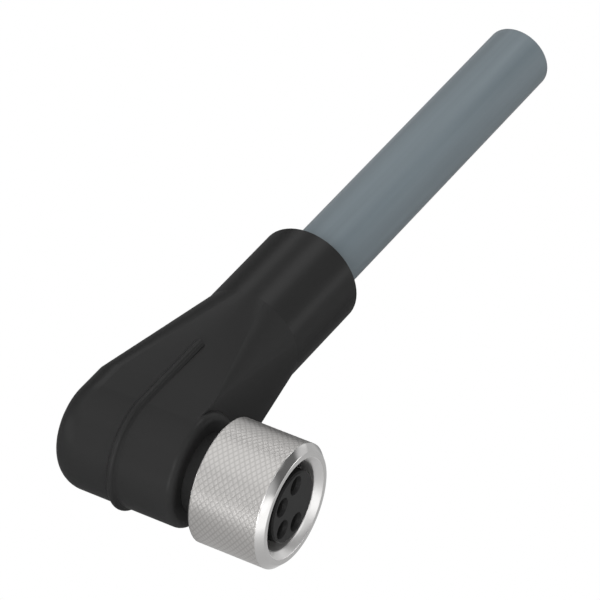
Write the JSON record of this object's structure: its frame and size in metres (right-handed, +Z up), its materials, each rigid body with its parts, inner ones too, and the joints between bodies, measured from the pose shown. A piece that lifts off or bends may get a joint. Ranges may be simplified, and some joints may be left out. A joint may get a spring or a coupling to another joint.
{
  "type": "angled cable connector",
  "caption": "Right angled round plug with a knurled screw nut and a socket insert, moulded onto a grey round cable, for sensors and small actuators.",
  "frame": {"origin": "centre of the coupling nut's front face, on the mating axis", "axes": "+X out of the mouth along the mating axis, +Y along the cable away from the connector, +Z up"},
  "size_m": [0.0187, 0.061, 0.0096],
  "materials": {
    "nickel_plated_brass": "turned brass, diamond knurled and nickel plated, satin silver",
    "spring_bronze": "rolled spring bronze, plain",
    "gilt_brass": "turned brass, thinly gold plated",
    "copper": "bare stranded copper, shown as one round bar",
    "insert_plastic": "black moulded plastic, fine satin",
    "seal_rubber": "black moulded rubber",
    "inner_mould_plastic": "black potting moulded round the joints",
    "outer_mould_plastic": "charcoal moulded polyurethane, soft satin",
    "jacket_plastic": "grey extruded jacket, soft satin",
    "core_brown": "brown extruded insulation",
    "core_white": "white extruded insulation",
    "core_blue": "blue extruded insulation",
    "core_black": "black extruded insulation"
  },
  "bodies": {
    "connector": {"contact_insert": "insert_plastic", "contact_plate": "insert_plastic", "seal_ring": "seal_rubber", "inner_mould": "inner_mould_plastic", "outer_mould": "outer_mould_plastic", "cable_jacket": "jacket_plastic", "socket_contact_1": "gilt_brass", "conductor_1": "copper", "core_insulation_1": "core_brown", "socket_contact_2": "gilt_brass", "conductor_2": "copper", "core_insulation_2": "core_white", "socket_contact_3": "gilt_brass", "conductor_3": "copper", "core_insulation_3": "core_blue", "socket_contact_4": "gilt_brass", "conductor_4": "copper", "core_insulation_4": "core_black"},
    "ring": {"retaining_ring": "spring_bronze"},
    "nut": {"coupling_nut": "nickel_plated_brass"}
  },
  "joints": [
    {"name": "nut_slide", "type": "slide", "parent": "connector", "child": "ring", "axis": [-1, 0, 0], "range_m": [0, 0.0015]},
    {"name": "nut_spin", "type": "hinge", "parent": "ring", "child": "nut", "pos_m": [0, 0, 0], "axis": [1, 0, 0], "continuous": true}
  ]
}
